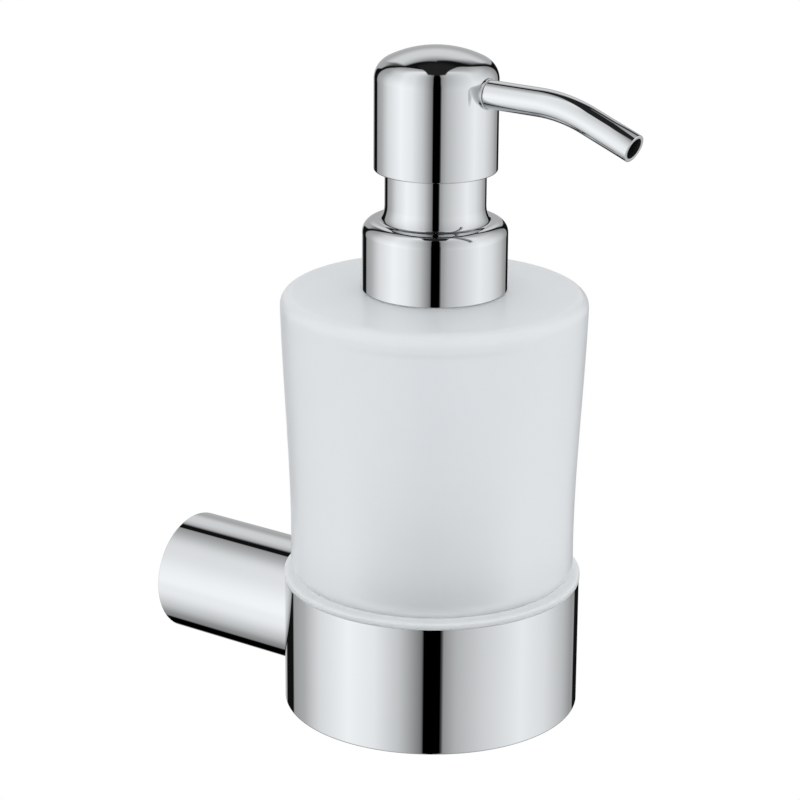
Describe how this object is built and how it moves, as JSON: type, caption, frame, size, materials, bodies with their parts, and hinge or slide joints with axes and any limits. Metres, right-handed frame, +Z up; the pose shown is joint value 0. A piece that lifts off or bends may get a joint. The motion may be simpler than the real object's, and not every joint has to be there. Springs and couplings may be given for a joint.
{
  "type": "wall mounted soap dispenser",
  "caption": "Round tubular arm and ring that hold a frosted glass bottle with a lift-out push pump, domed head and bent spout, fixed to a wall.",
  "frame": {"origin": "centre of the arm's wall end, on the wall plane", "axes": "+Z up along the bottle's axis, +Y out of the arm's end into the wall, +X to the right of someone facing the wall"},
  "size_m": [0.0714, 0.127, 0.1583],
  "materials": {
    "chrome": "mirror polished chrome plate",
    "frosted_glass": "acid-frosted clear glass, satin",
    "white_plastic": "soft satin translucent white",
    "natural_plastic": "natural polypropylene, satin",
    "cap_plastic": "moulded white plastic",
    "gasket_rubber": "soft pale elastomer",
    "steel": "plain stainless steel",
    "brass": "turned brass",
    "zinc": "die-cast zinc, unplated"
  },
  "bodies": {
    "holder": {"wall_bracket": "zinc", "grub_screw": "steel", "arm_tube": "chrome", "arm_end_plug": "brass", "ring_screw": "steel", "holder_ring": "chrome", "ring_liner": "white_plastic"},
    "bottle": {"glass_bottle": "frosted_glass"},
    "pump": {"neck_gasket": "gasket_rubber", "pump_housing": "natural_plastic", "housing_guide": "cap_plastic", "spring_seat": "natural_plastic", "return_spring": "steel", "dip_tube": "natural_plastic"},
    "collar": {"collar_shell": "chrome", "screw_cap": "cap_plastic"},
    "inlet_ball": {"inlet_ball": "steel"},
    "piston": {"piston_seal": "cap_plastic"},
    "head": {"head_shell": "chrome", "head_core": "cap_plastic", "spout_tube": "chrome", "spout_ring": "chrome", "pump_stem": "natural_plastic", "valve_rod": "natural_plastic"}
  },
  "joints": [
    {"name": "bottle_lift", "type": "slide", "parent": "holder", "child": "bottle", "axis": [0, 0, 1], "range_m": [0, 0.05]},
    {"name": "pump_lift", "type": "slide", "parent": "bottle", "child": "pump", "axis": [0, 0, 1], "range_m": [0, 0.11]},
    {"name": "collar_turn", "type": "hinge", "parent": "pump", "child": "collar", "pos_m": [0, -0.0733, 0.09505], "axis": [0, 0, 1], "continuous": true},
    {"name": "ball_lift", "type": "slide", "parent": "pump", "child": "inlet_ball", "axis": [0, 0, 1], "range_m": [0, 0.0015]},
    {"name": "pump_press", "type": "slide", "parent": "pump", "child": "piston", "axis": [0, 0, -1], "range_m": [0, 0.0105], "stiffness_N_per_m": 900, "springref_m": -0.01, "deforming": ["return_spring"]},
    {"name": "head_swivel", "type": "hinge", "parent": "piston", "child": "head", "pos_m": [0, -0.0733, 0.12505], "axis": [0, 0, 1], "continuous": true}
  ]
}
